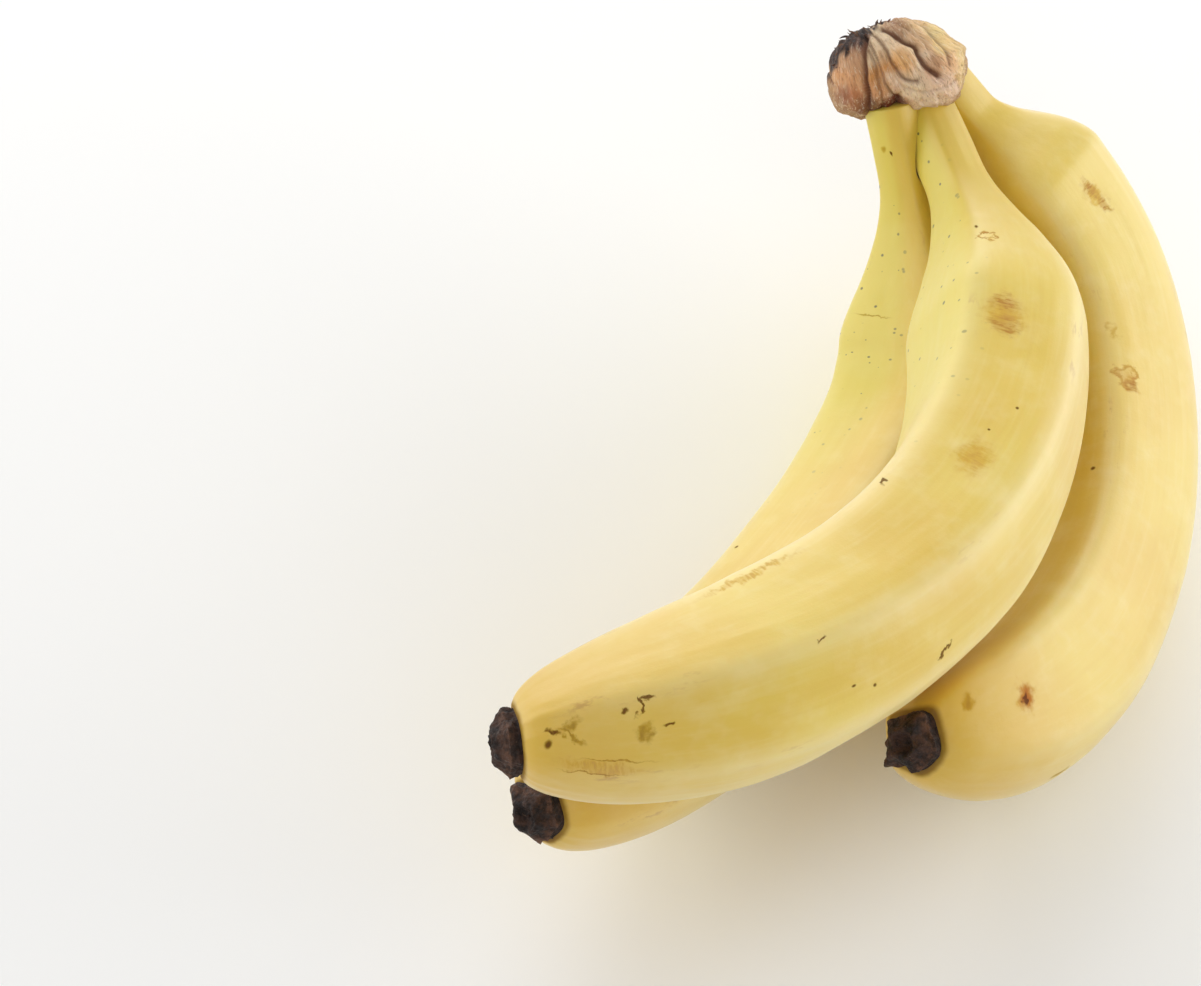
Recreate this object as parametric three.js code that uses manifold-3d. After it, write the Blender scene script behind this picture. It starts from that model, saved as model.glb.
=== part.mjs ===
// A bunch of three ripe bananas, lying on the curved backs of its two outer fingers.
// Millimetres, +Z up. The origin is on the surface that the bunch rests on, under the middle of its box.
// Each finger is a five-sided tapering tube bent along its own centreline, which starts at the crown.
import * as THREE from "three";
import { mergeVertices } from "three/addons/utils/BufferGeometryUtils.js";
import Module from "manifold-3d";

const wasm = await Module();
wasm.setup();

// Clearance between two pieces that touch.
const GAP = 0.3;

// The point where the centrelines of the fingers meet the crown, before the bunch is set down.
const CROWN_BASE = new THREE.Vector3(1.4, 75.5, 63);

// How each finger grows. offset: where its stalk starts, from the crown base. heading and climb: the way
// the stalk sets off, round from +X and up from level. roll: which way it bends. neckBend and bodyBend:
// how far the stalk and the body turn. neckPlace: where the stalk bends, as a share of the length.
// twist: how far the bend plane turns by the tip. length: along the centreline, from crown to blossom end.
// bodyRadius and stalkRadius: half the thickness. stalkEnd and bodyStart: where the widening begins and ends.
const FINGERS = {
  middle: {
    offset: new THREE.Vector3(0.2, 1.2, 0.8),
    heading: -63.1, climb: -10.8, roll: -29.4,
    neckBend: 22.3, neckPlace: 0.2, bodyBend: 81.5, twist: 48.7,
    length: 215.2, bodyRadius: 16.9, stalkRadius: 6, stalkEnd: 18.5, bodyStart: 58.4,
  },
  left: {
    offset: new THREE.Vector3(-5.9, -3.7, 4.2),
    heading: -56.4, climb: -53, roll: -28.5,
    neckBend: 56.2, neckPlace: 0.27, bodyBend: 42.6, twist: 8.2,
    length: 206.3, bodyRadius: 16.1, stalkRadius: 5.3, stalkEnd: 14.7, bodyStart: 51.6,
  },
  right: {
    offset: new THREE.Vector3(0, 8.8, 4.1),
    heading: -22.7, climb: -37.1, roll: -1.7,
    neckBend: 33.8, neckPlace: 0.24, bodyBend: 96.4, twist: -15,
    length: 205.7, bodyRadius: 17.7, stalkRadius: 6.3, stalkEnd: 13.9, bodyStart: 33.9,
  },
};

// The bend of the stalk is spread over this share of the length, and the body's bend starts and is full at
// these shares, then eases off to half over the last stretch.
const NECK_SPREAD = 0.07;
const BODY_BEND_FROM = 0.15;
const BODY_BEND_FULL = 0.35;
const TIP_BEND_FROM = 0.85;
const TIP_BEND_EASE = 0.5;

// The last stretch tapers to the blossom end, as part of a curve fuller than an ellipse.
const TAPER_LENGTH = 56;
const TIP_RADIUS = 5.4;
const TAPER_POWER = 1.9;

// The five faces of a finger look these ways round its centreline, in degrees from the inside of its bend.
const FACE_ANGLES = [0, 84, 150, 210, 276];
// A higher power gives flatter faces and sharper ridges.
const FACE_POWER = 4.4;
// How strongly the ridges show on the stalk, compared with the body.
const STALK_RIDGES = 0.6;

// The dried blossom end: its length along the finger, how far its rim flares, and the dish in its end.
const BLOSSOM_LENGTH = 4.4;
const BLOSSOM_FLARE = 0.25;
const BLOSSOM_WAIST = 0.35;
const BLOSSOM_DISH = 1.2;

// The crown: half its width, depth and height, where its middle is from the crown base, how it leans back
// and how it tilts to the side.
const CROWN_HALF_WIDTH = 12.2;
const CROWN_HALF_DEPTH = 10.5;
const CROWN_HALF_HEIGHT = 10;
const CROWN_MIDDLE = new THREE.Vector3(-5.6, 2.7, 7.1);
const CROWN_LEAN = 52;
const CROWN_TILT = 7;
// A power over 2 makes the crown blockier than an egg; the folds are long shallow waves down its sides.
const CROWN_BLOCKINESS = 2.5;
const CROWN_FOLDS = 7;
const CROWN_FOLD_DEPTH = 0.045;

// Facets: steps along a centreline, and sides and rings of each solid.
const PATH_STEPS = 55;
const FINGER_SIDES = 24;
const FINGER_RINGS = 40;
const BLOSSOM_SIDES = 20;
const BLOSSOM_RINGS = 4;
const CROWN_SIDES = 28;
const CROWN_RINGS = 16;

const radians = THREE.MathUtils.degToRad;
const lerp = THREE.MathUtils.lerp;

// Rises smoothly from 0 to 1 as t goes from 0 to 1, and stays level outside.
function ease(t) {
  return THREE.MathUtils.smoothstep(t, 0, 1);
}

// How sharply the centreline bends at a share of its length, for the stalk and for the body.
function neckBendAt(share, finger) {
  return Math.exp(-0.5 * ((share - finger.neckPlace) / NECK_SPREAD) ** 2);
}

function bodyBendAt(share) {
  const rise = ease((share - BODY_BEND_FROM) / (BODY_BEND_FULL - BODY_BEND_FROM));
  const fade = 1 - TIP_BEND_EASE * ease((share - TIP_BEND_FROM) / (1 - TIP_BEND_FROM));
  return rise * fade;
}

// The centreline as a row of frames. Each frame has a point, the way along, the way to the inside of the
// bend, and the way across. The frame turns with the bend and rolls slowly with the twist.
function centreline(finger) {
  const shares = Array.from({ length: PATH_STEPS + 1 }, (_, i) => i / PATH_STEPS);
  const neckSum = shares.reduce((sum, share) => sum + neckBendAt(share, finger), 0);
  const bodySum = shares.reduce((sum, share) => sum + bodyBendAt(share), 0);
  const heading = radians(finger.heading);
  const climb = radians(finger.climb);
  const along = new THREE.Vector3(
    Math.cos(climb) * Math.cos(heading),
    Math.cos(climb) * Math.sin(heading),
    Math.sin(climb),
  );
  const level = new THREE.Vector3(along.y, -along.x, 0).normalize();
  const inside = level.clone().applyAxisAngle(along, radians(finger.roll));
  const point = CROWN_BASE.clone().add(finger.offset);
  const step = finger.length / PATH_STEPS;
  const roll = radians(finger.twist) / (PATH_STEPS + 1);
  return shares.map((share, i) => {
    if (i > 0) {
      const turn =
        (radians(finger.neckBend) * neckBendAt(share, finger)) / neckSum +
        (radians(finger.bodyBend) * bodyBendAt(share)) / bodySum;
      const before = along.clone();
      const across = new THREE.Vector3().crossVectors(along, inside);
      along.applyAxisAngle(across, turn);
      inside.applyAxisAngle(across, turn).applyAxisAngle(along, roll);
      point.addScaledVector(before.add(along), step / 2);
    }
    return {
      point: point.clone(),
      along: along.clone(),
      inside: inside.clone(),
      across: new THREE.Vector3().crossVectors(along, inside),
    };
  });
}

// The frame at a distance from the crown, between the two frames on either side of it.
function frameAt(path, distance, finger) {
  const place = THREE.MathUtils.clamp((distance / finger.length) * PATH_STEPS, 0, PATH_STEPS);
  const low = Math.min(Math.floor(place), PATH_STEPS - 1);
  const blend = (name) => path[low][name].clone().lerp(path[low + 1][name], place - low);
  return {
    point: blend("point"),
    along: blend("along").normalize(),
    inside: blend("inside").normalize(),
    across: blend("across").normalize(),
  };
}

// How far along the centreline the skin reaches: the blossom end takes the rest.
function skinLength(finger) {
  return finger.length - BLOSSOM_LENGTH;
}

// The half thickness at a distance from the crown: the stalk, the widening, the body and the taper.
function radiusAt(distance, finger) {
  const widening = ease((distance - finger.stalkEnd) / (finger.bodyStart - finger.stalkEnd));
  const body = lerp(finger.stalkRadius, finger.bodyRadius, widening);
  const left = THREE.MathUtils.clamp((skinLength(finger) - distance) / TAPER_LENGTH, 0, 1);
  const taper = lerp(TIP_RADIUS, finger.bodyRadius, (1 - (1 - left) ** 2) ** (1 / TAPER_POWER));
  return Math.min(body, taper);
}

// A rounded pentagon's reach at an angle, from the sum of its faces' cosines to a power.
function pentagon(angle) {
  const sum = FACE_ANGLES.reduce(
    (total, face) => total + Math.max(0, Math.cos(angle - radians(face))) ** FACE_POWER,
    0,
  );
  return sum ** (-1 / FACE_POWER);
}

const PENTAGON_SAMPLES = 90;
const PENTAGON_MEAN =
  Array.from({ length: PENTAGON_SAMPLES }, (_, i) => pentagon((i / PENTAGON_SAMPLES) * 2 * Math.PI))
    .reduce((sum, reach) => sum + reach, 0) / PENTAGON_SAMPLES;

// The reach of a finger's section, as a share of its radius.
function sectionAt(angle, distance, finger) {
  const strength = lerp(STALK_RIDGES, 1, ease(distance / finger.bodyStart));
  return lerp(1, pentagon(angle) / PENTAGON_MEAN, strength);
}

// Moves each point of a round cylinder of radius 1 and height 1 to where place(turn, share, reach) says:
// the angle round the axis, the share of the way from top to bottom, and how near the rim it is.
function bendCylinder(sides, rings, place) {
  const shape = new THREE.CylinderGeometry(1, 1, 1, sides, rings);
  const spot = shape.attributes.position;
  for (let i = 0; i < spot.count; i += 1) {
    const angle = Math.atan2(spot.getZ(i), spot.getX(i));
    const reach = Math.hypot(spot.getX(i), spot.getZ(i));
    const to = place(angle, 0.5 - spot.getY(i), reach);
    spot.setXYZ(i, to.x, to.y, to.z);
  }
  return shape;
}

// The point that lies out from a frame by a radius, at an angle round it.
function outFrom(frame, angle, radius) {
  return frame.point.clone()
    .addScaledVector(frame.inside, radius * Math.cos(angle))
    .addScaledVector(frame.across, radius * Math.sin(angle));
}

// A finger without its blossom end, made thicker all over by grow.
function fingerShape(finger, grow = 0) {
  const path = centreline(finger);
  const end = skinLength(finger) - GAP / 2;
  return bendCylinder(FINGER_SIDES, FINGER_RINGS, (angle, share, reach) => {
    const distance = lerp(-grow, end + grow, share);
    const frame = frameAt(path, distance, finger);
    frame.point.addScaledVector(frame.along, Math.min(distance, 0));
    const radius = radiusAt(distance, finger) * sectionAt(angle, distance, finger) + grow;
    return outFrom(frame, angle, reach * radius);
  });
}

// The blossom end: a short stub with a waist behind its flared rim, and a dish in its end.
function blossomShape(finger) {
  const path = centreline(finger);
  const start = skinLength(finger) + GAP / 2;
  return bendCylinder(BLOSSOM_SIDES, BLOSSOM_RINGS, (angle, share, reach) => {
    const dish = BLOSSOM_DISH * (1 - reach) * share;
    const distance = lerp(start, finger.length, share) - dish;
    const flare = BLOSSOM_FLARE * share - BLOSSOM_WAIST * Math.sin(Math.PI * share);
    const radius = radiusAt(start, finger) * sectionAt(angle, start, finger) + flare;
    return outFrom(frameAt(path, distance, finger), angle, reach * radius);
  });
}

// The crown: a blocky egg with folds round its sides, which fade out at its top and bottom.
function crownShape() {
  const shape = new THREE.SphereGeometry(1, CROWN_SIDES, CROWN_RINGS);
  const spot = shape.attributes.position;
  const power = CROWN_BLOCKINESS;
  for (let i = 0; i < spot.count; i += 1) {
    const x = spot.getX(i);
    const y = spot.getY(i);
    const z = spot.getZ(i);
    const blocky = (Math.abs(x) ** power + Math.abs(y) ** power + Math.abs(z) ** power) ** (-1 / power);
    const folds = 1 + CROWN_FOLD_DEPTH * Math.cos(CROWN_FOLDS * Math.atan2(z, x)) * (x * x + z * z);
    const scale = blocky * folds;
    spot.setXYZ(i, x * scale * CROWN_HALF_WIDTH, y * scale * CROWN_HALF_HEIGHT, z * scale * CROWN_HALF_DEPTH);
  }
  const middle = CROWN_BASE.clone().add(CROWN_MIDDLE);
  return shape
    .rotateX(Math.PI / 2)
    .rotateY(radians(-CROWN_TILT))
    .rotateX(radians(-CROWN_LEAN))
    .translate(middle.x, middle.y, middle.z);
}

// A closed three.js shape as a solid that can be cut.
function solidOf(shape) {
  const bare = shape.clone();
  bare.deleteAttribute("normal");
  bare.deleteAttribute("uv");
  const merged = mergeVertices(bare, 1e-4);
  const vertProperties = new Float32Array(merged.attributes.position.array);
  const triVerts = new Uint32Array(merged.index.array);
  return new wasm.Manifold(new wasm.Mesh({ numProp: 3, vertProperties, triVerts }));
}

// A solid as a three.js shape.
function shapeOf(solid) {
  const mesh = solid.getMesh();
  const shape = new THREE.BufferGeometry();
  shape.setAttribute("position", new THREE.BufferAttribute(mesh.vertProperties, 3));
  shape.setIndex(new THREE.BufferAttribute(mesh.triVerts, 1));
  shape.computeVertexNormals();
  return shape;
}

// One solid less the room that each of the others needs.
function clearOf(solid, others) {
  return others.reduce((left, other) => left.subtract(other), solid);
}

const SKIN = new THREE.MeshStandardMaterial({ color: 0xe8cf6a, roughness: 0.5, metalness: 0 });
const CROWN_TISSUE = new THREE.MeshStandardMaterial({ color: 0xb08a5c, roughness: 0.85, metalness: 0 });
const BLOSSOM_TISSUE = new THREE.MeshStandardMaterial({ color: 0x2b211b, roughness: 0.95, metalness: 0 });

function piece(name, shape, material) {
  const mesh = new THREE.Mesh(shape, material);
  mesh.name = name;
  return mesh;
}

const bunch = new THREE.Group();

// The middle finger is whole. Each outer finger is flattened where it presses on the ones before it.
const rooms = [];
for (const [place, finger] of Object.entries(FINGERS)) {
  const solid = clearOf(solidOf(fingerShape(finger)), rooms);
  bunch.add(piece(`banana_${place}`, shapeOf(solid), SKIN.clone()));
  rooms.push(solidOf(fingerShape(finger, GAP)));
}

// The crown holds the ends of the three stalks in sockets.
bunch.add(piece("crown", shapeOf(clearOf(solidOf(crownShape()), rooms)), CROWN_TISSUE));

// A blossom end meets its own finger face to face, and is cut back only by the other two.
Object.entries(FINGERS).forEach(([place, finger], i) => {
  const others = rooms.filter((_, j) => j !== i);
  const solid = clearOf(solidOf(blossomShape(finger)), others);
  bunch.add(piece(`blossom_end_${place}`, shapeOf(solid), BLOSSOM_TISSUE.clone()));
});

// The bunch is set down: its lowest point at Z = 0, and the middle of its box over the origin.
const box = new THREE.Box3().setFromObject(bunch, true);
const middle = box.getCenter(new THREE.Vector3());
bunch.position.set(-middle.x, -middle.y, -box.min.z);

export default bunch;
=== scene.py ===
import math

import bpy
import numpy as np
from mathutils import Matrix, Vector


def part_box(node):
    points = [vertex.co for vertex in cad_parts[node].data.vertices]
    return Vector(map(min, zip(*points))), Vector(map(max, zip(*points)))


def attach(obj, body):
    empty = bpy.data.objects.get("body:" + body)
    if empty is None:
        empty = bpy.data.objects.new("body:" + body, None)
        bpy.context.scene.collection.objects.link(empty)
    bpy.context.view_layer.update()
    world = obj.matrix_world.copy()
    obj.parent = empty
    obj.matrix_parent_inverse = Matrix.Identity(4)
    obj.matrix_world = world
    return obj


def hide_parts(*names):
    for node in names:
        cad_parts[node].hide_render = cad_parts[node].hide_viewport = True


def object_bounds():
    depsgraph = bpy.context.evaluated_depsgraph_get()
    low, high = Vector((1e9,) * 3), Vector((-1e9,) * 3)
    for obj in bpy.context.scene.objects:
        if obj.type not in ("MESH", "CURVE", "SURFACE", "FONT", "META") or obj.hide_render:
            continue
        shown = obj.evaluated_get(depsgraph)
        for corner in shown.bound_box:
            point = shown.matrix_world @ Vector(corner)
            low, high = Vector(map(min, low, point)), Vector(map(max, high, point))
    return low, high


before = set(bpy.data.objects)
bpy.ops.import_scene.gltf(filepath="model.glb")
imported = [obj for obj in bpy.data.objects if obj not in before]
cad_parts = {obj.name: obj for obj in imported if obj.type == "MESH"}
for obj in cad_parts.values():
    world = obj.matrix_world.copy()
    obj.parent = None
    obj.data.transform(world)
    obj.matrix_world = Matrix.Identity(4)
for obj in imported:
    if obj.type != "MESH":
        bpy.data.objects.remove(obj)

MM = 0.001
SEED = 11
cad_low, cad_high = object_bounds()


# ---------------------------------------------------------------- camera and light

VIEW_DOWN = 52.0
VIEW_ROLL = 7.03
VIEW_DISTANCE = 0.630
AIM_FROM_MIDDLE = Vector((-0.0520, -0.0152, 0.0044))
LENS = 100
SENSOR = 36
aim = (cad_low + cad_high) / 2 + AIM_FROM_MIDDLE


def put_in_scene(name, data):
    """A new object with this data, in the scene."""
    made = bpy.data.objects.new(name, data)
    bpy.context.scene.collection.objects.link(made)
    return made


def view_axes():
    """The camera's right, up and forward: level along +Y, tipped down, then rolled about its own line."""
    down = math.radians(VIEW_DOWN)
    roll = math.radians(VIEW_ROLL)
    forward = Vector((0, math.cos(down), -math.sin(down)))
    level = Vector((1, 0, 0))
    right = math.cos(roll) * level + math.sin(roll) * level.cross(forward)
    return right, right.cross(forward), forward


RIGHT, UP, FORWARD = view_axes()


def turned_to(back):
    """A turn whose own Z axis is the given way, with its X axis level."""
    z = back.normalized()
    x = Vector((0, 0, 1)).cross(z).normalized()
    return Matrix((x, z.cross(x), z)).transposed().to_4x4()


def make_camera():
    """A long lens that looks at the aim point from the viewing distance."""
    data = bpy.data.cameras.new("camera")
    data.lens = LENS
    data.sensor_width = SENSOR
    data.clip_start = 0.01
    data.clip_end = 20
    camera = put_in_scene("camera", data)
    turn = Matrix((RIGHT, UP, -FORWARD)).transposed().to_4x4()
    camera.matrix_world = Matrix.Translation(aim - FORWARD * VIEW_DISTANCE) @ turn
    bpy.context.scene.camera = camera


# Each light: how far right, up and back towards the camera it stands from the aim point, in metres, its
# size and its power in watts.
LIGHTS = {
    "back_light": ((-0.15, 1.05, -0.30), 1.2, 8.0),
    "left_light": ((-1.15, 0.30, 0.05), 1.1, 7.6),
    "right_light": ((1.10, 0.25, -0.10), 1.1, 9.6),
    "front_light": ((0.1, -0.25, 1.25), 1.0, 2.0),
}
SKY_STRENGTH = 0.54
SKY_COLOUR = (1.0, 0.995, 0.985, 1)


def make_lights():
    """Square soft lights round the bunch, facing the aim point, under an even pale sky."""
    for name, (place, size, power) in LIGHTS.items():
        data = bpy.data.lights.new(name, "AREA")
        data.size = size
        data.energy = power
        light = put_in_scene(name, data)
        away = RIGHT * place[0] + UP * place[1] - FORWARD * place[2]
        light.matrix_world = Matrix.Translation(aim + away) @ turned_to(away)
    world = bpy.data.worlds.new("sky")
    world.use_nodes = True
    sky = world.node_tree.nodes["Background"]
    sky.inputs["Color"].default_value = SKY_COLOUR
    sky.inputs["Strength"].default_value = SKY_STRENGTH
    bpy.context.scene.world = world
    bpy.context.scene.view_settings.view_transform = "Standard"


# ---------------------------------------------------------------- shared formulas

def ease(t):
    """0 below 0 and 1 above 1, with the cubic 3t^2 - 2t^3 between."""
    t = np.clip(t, 0, 1)
    return t * t * (3 - 2 * t)


def lerp(a, b, t):
    """The value that is the share t of the way from a to b."""
    return a + (b - a) * t


def bump(x, width):
    """A bell of height 1 at 0: e to minus the square of x over the width."""
    return np.exp(-((x / width) ** 2))


LATTICE = 24


def noise(points, cell, seed):
    """Smooth noise from -1 to 1: random values at the corners of cubes of side cell, eased between them."""
    table = np.random.default_rng(SEED + seed).uniform(-1, 1, (LATTICE, LATTICE, LATTICE))
    spot = points / np.asarray(cell, float)
    low = np.floor(spot).astype(int)
    part = ease(spot - low)
    total = np.zeros(spot.shape[:-1])
    for corner in np.ndindex(2, 2, 2):
        at = (low + corner) % LATTICE
        weight = np.prod(np.where(corner, part, 1 - part), axis=-1)
        total += weight * table[at[..., 0], at[..., 1], at[..., 2]]
    return total


def layered_noise(points, cell, seed, layers=3):
    """Noise plus noise of half the cell and half the height, and so on for the given layers."""
    return sum(noise(points, cell / 2**i, seed + i) / 2**i for i in range(layers))


def unit(rows):
    """Each row of three numbers at length 1."""
    return rows / np.linalg.norm(rows, axis=-1, keepdims=True)


def between(rows, place):
    """Rows read at places between whole numbers, along the Catmull-Rom cubic through the four nearest."""
    last = len(rows) - 1
    low = np.clip(np.floor(place).astype(int), 0, last - 1)
    t = (place - low)[..., None]
    a, b, c, d = (rows[np.clip(low + step, 0, last)] for step in (-1, 0, 1, 2))
    return b + t / 2 * (c - a + t * (2 * a - 5 * b + 4 * c - d + t * (3 * (b - c) + d - a)))


def ring_faces(count, sides):
    """The numbers of points in rings, those of their neighbours round the ring, and the four-sided faces
    between rings."""
    here = np.arange(count * sides).reshape(count, sides)
    beside = np.roll(here, -1, axis=1)
    return here, beside, np.stack([here[:-1], beside[:-1], beside[1:], here[1:]], -1).reshape(-1, 4)


def closed_skin(name, rings, **maps):
    """A closed surface through rings of points in mm: four-sided faces between rings, and a fan over the
    middle of the first and last ring. Rings run anticlockwise seen from the last one. The maps are
    values at each point, kept as attributes: numbers, or vectors for arrays with three columns."""
    count, sides = rings.shape[:2]
    points = np.concatenate([rings.reshape(-1, 3), rings[:1].mean(1), rings[-1:].mean(1)])
    here, beside, quads = ring_faces(count, sides)
    first = np.stack([np.full(sides, count * sides), beside[0], here[0]], -1)
    last = np.stack([np.full(sides, count * sides + 1), here[-1], beside[-1]], -1)
    mesh = bpy.data.meshes.new(name)
    mesh.from_pydata((points * MM).tolist(), [], quads.tolist() + first.tolist() + last.tolist())
    mesh.shade_smooth()
    for label, values in maps.items():
        full = np.concatenate([values.reshape((count * sides,) + values.shape[2:]),
                               values[:1].mean(1), values[-1:].mean(1)]).astype(np.float32)
        if full.ndim == 2:
            mesh.attributes.new(label, "FLOAT_VECTOR", "POINT").data.foreach_set("vector", full.ravel())
        else:
            mesh.attributes.new(label, "FLOAT", "POINT").data.foreach_set("value", full)
    return put_in_scene(name, mesh)


# ---------------------------------------------------------------- the fingers' shape

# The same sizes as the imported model's, in millimetres and degrees.
CROWN_BASE = np.array([1.4, 75.5, 63.0])
GAP = 0.3
FINGERS = {
    "middle": {
        "offset": (0.2, 1.2, 0.8), "heading": -63.1, "climb": -10.8, "roll": -29.4,
        "neck_bend": 22.3, "neck_place": 0.2, "body_bend": 81.5, "twist": 48.7,
        "length": 215.2, "body_radius": 16.9, "stalk_radius": 6.0, "stalk_end": 18.5, "body_start": 58.4,
    },
    "left": {
        "offset": (-5.9, -3.7, 4.2), "heading": -56.4, "climb": -53.0, "roll": -28.5,
        "neck_bend": 56.2, "neck_place": 0.27, "body_bend": 42.6, "twist": 8.2,
        "length": 206.3, "body_radius": 16.1, "stalk_radius": 5.3, "stalk_end": 14.7, "body_start": 51.6,
    },
    "right": {
        "offset": (0.0, 8.8, 4.1), "heading": -22.7, "climb": -37.1, "roll": -1.7,
        "neck_bend": 33.8, "neck_place": 0.24, "body_bend": 96.4, "twist": -15.0,
        "length": 205.7, "body_radius": 17.7, "stalk_radius": 6.3, "stalk_end": 13.9, "body_start": 33.9,
    },
}
PATH_STEPS = 55
NECK_SPREAD = 0.07
BODY_BEND_FROM = 0.15
BODY_BEND_FULL = 0.35
TIP_BEND_FROM = 0.85
TIP_BEND_EASE = 0.5
TAPER_LENGTH = 56.0
TIP_RADIUS = 5.4
TAPER_POWER = 1.9
FACE_ANGLES = np.radians([0, 84, 150, 210, 276])
RIDGE_ANGLES = np.radians([42, 117, 180, 243, 318])
FACE_POWER = 5.6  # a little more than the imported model's, for flatter faces and crisper ridges
STALK_RIDGES = 0.6
BLOSSOM_LENGTH = 4.4

# By the crown two skins have grown into each other by STALK_JOIN; from JOIN_FROM down they part over
# JOIN_LENGTH, until GAP is left between them.
STALK_JOIN = -0.35
JOIN_FROM = 4
JOIN_LENGTH = 7

FINGER_RINGS = 250
FINGER_SIDES = 160


def centreline(finger):
    """Points and frames down the middle of a finger. Each of the 55 steps turns towards the inside of the
    bend by its share of the neck's bell and of the body's even bend, then rolls by its share of the
    twist."""
    share = np.arange(PATH_STEPS + 1) / PATH_STEPS
    neck = np.exp(-0.5 * ((share - finger["neck_place"]) / NECK_SPREAD) ** 2)
    rise = ease((share - BODY_BEND_FROM) / (BODY_BEND_FULL - BODY_BEND_FROM))
    body = rise * (1 - TIP_BEND_EASE * ease((share - TIP_BEND_FROM) / (1 - TIP_BEND_FROM)))
    turns = np.radians(finger["neck_bend"]) * neck / neck.sum()
    turns = turns + np.radians(finger["body_bend"]) * body / body.sum()
    heading, climb, roll = np.radians([finger["heading"], finger["climb"], finger["roll"]])
    along = np.array([np.cos(climb) * np.cos(heading), np.cos(climb) * np.sin(heading), np.sin(climb)])
    level = unit(np.array([along[1], -along[0], 0]))
    inside = np.cos(roll) * level + np.sin(roll) * np.cross(along, level)
    twist = np.radians(finger["twist"]) / (PATH_STEPS + 1)
    point = CROWN_BASE + finger["offset"]
    step = finger["length"] / PATH_STEPS
    rows = [(point, along, inside)]
    for turn in turns[1:]:
        across = np.cross(along, inside)
        ahead = np.cos(turn) * along + np.sin(turn) * inside
        bent = np.cos(turn) * inside - np.sin(turn) * along
        point = point + (along + ahead) * step / 2
        along = ahead
        inside = np.cos(twist) * bent + np.sin(twist) * across
        rows.append((point, along, inside))
    return np.array(rows)


def frames_at(finger, distance):
    """The point, the way along, the inside and the across at distances down a finger."""
    place = np.clip(distance / finger["length"], 0, 1) * PATH_STEPS
    point, along, inside = (between(finger["path"][:, i], place) for i in range(3))
    along = unit(along)
    inside = unit(inside)
    point = point + along * np.minimum(distance, 0)[..., None]
    return point, along, inside, np.cross(along, inside)


def radius_at(finger, distance):
    """Half the thickness: the stalk eased into the body, and never more than the taper to the tip, which
    is the tip radius plus the rest times (1 - (1 - left)^2)^(1/1.9)."""
    widening = ease((distance - finger["stalk_end"]) / (finger["body_start"] - finger["stalk_end"]))
    body = lerp(finger["stalk_radius"], finger["body_radius"], widening)
    left = np.clip((finger["length"] - BLOSSOM_LENGTH - distance) / TAPER_LENGTH, 0, 1)
    taper = lerp(TIP_RADIUS, finger["body_radius"], (1 - (1 - left) ** 2) ** (1 / TAPER_POWER))
    return np.minimum(body, taper)


def pentagon(angle, power):
    """The reach of a rounded pentagon: the faces' cosines, each to the power, summed, to minus one over
    the power."""
    faces = np.maximum(0, np.cos(np.asarray(angle)[..., None] - FACE_ANGLES)) ** power
    return faces.sum(-1) ** (-1 / power)


def section_at(finger, distance, angle):
    """The reach of the section as a share of the radius: five soft faces, fainter on the stalk."""
    whole = np.linspace(0, 2 * np.pi, 90, endpoint=False)
    strength = lerp(STALK_RIDGES, 1, ease(distance / finger["body_start"]))
    return lerp(1, pentagon(angle, FACE_POWER) / pentagon(whole, FACE_POWER).mean(), strength)


def ridge_at(angle, width):
    """Bells of the given width in radians on each of the five ridges."""
    away = np.angle(np.exp(1j * (np.asarray(angle)[..., None] - RIDGE_ANGLES)))
    return bump(away, width).sum(-1)


def skin_place(finger, distance, angle):
    """Where a point would be if the finger were straight: round its axis, and down it."""
    reach = radius_at(finger, distance)
    return np.stack([reach * np.cos(angle), reach * np.sin(angle), distance], -1)


def relief(finger, distance, angle):
    """How far the skin stands out, in mm: crests on the ridges, slow swells, faint long flutes, crossways
    creases at the shoulder, and puckers round the tip."""
    place = skin_place(finger, distance, angle)
    end = finger["length"] - BLOSSOM_LENGTH
    on_body = ease((distance - finger["stalk_end"]) / 30) * ease((end - distance) / 30)
    crest = 0.28 * ridge_at(angle, 0.13) * lerp(0.3, 1, on_body)
    swell = 0.30 * noise(place, 19, finger["seed"]) * on_body + 0.07 * noise(place, 6, finger["seed"] + 1)
    flutes = 0.05 * layered_noise(place / [1, 1, 9], 1.9, finger["seed"] + 2, 2)
    shoulder = bump(distance - finger["stalk_end"] - 14, 12)
    folds = 0.10 * noise(place / [3, 3, 1], 2.6, finger["seed"] + 4) * shoulder
    pucker = ease((distance - end + 14) / 14)
    lines = 0.28 * np.abs(noise(np.stack([6 * np.cos(angle), 6 * np.sin(angle), distance / 12], -1),
                                1.7, finger["seed"] + 5))
    return crest + swell + flutes + folds - lines * pucker


def skin_reach(finger, distance, angle):
    """How far the skin is from the middle line: the radius times the section, plus the relief."""
    return radius_at(finger, distance) * section_at(finger, distance, angle) + relief(finger, distance, angle)


def press_clear(points, other, gap):
    """Moves points that lie within a neighbour's skin out to it plus the gap at each, straight from its
    middle."""
    distance = np.linspace(0, other["length"] - BLOSSOM_LENGTH, 420)
    line, along, inside, across = frames_at(other, distance)
    flat = points.reshape(-1, 3)
    nearest = np.concatenate([
        np.argmin(((part[:, None] - line[None]) ** 2).sum(-1), axis=1)
        for part in np.array_split(flat, 40)
    ])
    out = flat - line[nearest]
    ahead = (out * along[nearest]).sum(-1, keepdims=True)
    out = out - ahead * along[nearest]
    reach = np.linalg.norm(out, axis=-1)
    angle = np.arctan2((out * across[nearest]).sum(-1), (out * inside[nearest]).sum(-1))
    spot = distance[nearest] + ahead[:, 0]
    room = skin_reach(other, spot, angle) + gap.ravel()
    beside = (np.abs(ahead[:, 0]) < 2) & (reach < room)
    push = np.where(beside, room - reach, 0) / np.maximum(reach, 0.1)
    return (flat + out * push[:, None]).reshape(points.shape)


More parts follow.
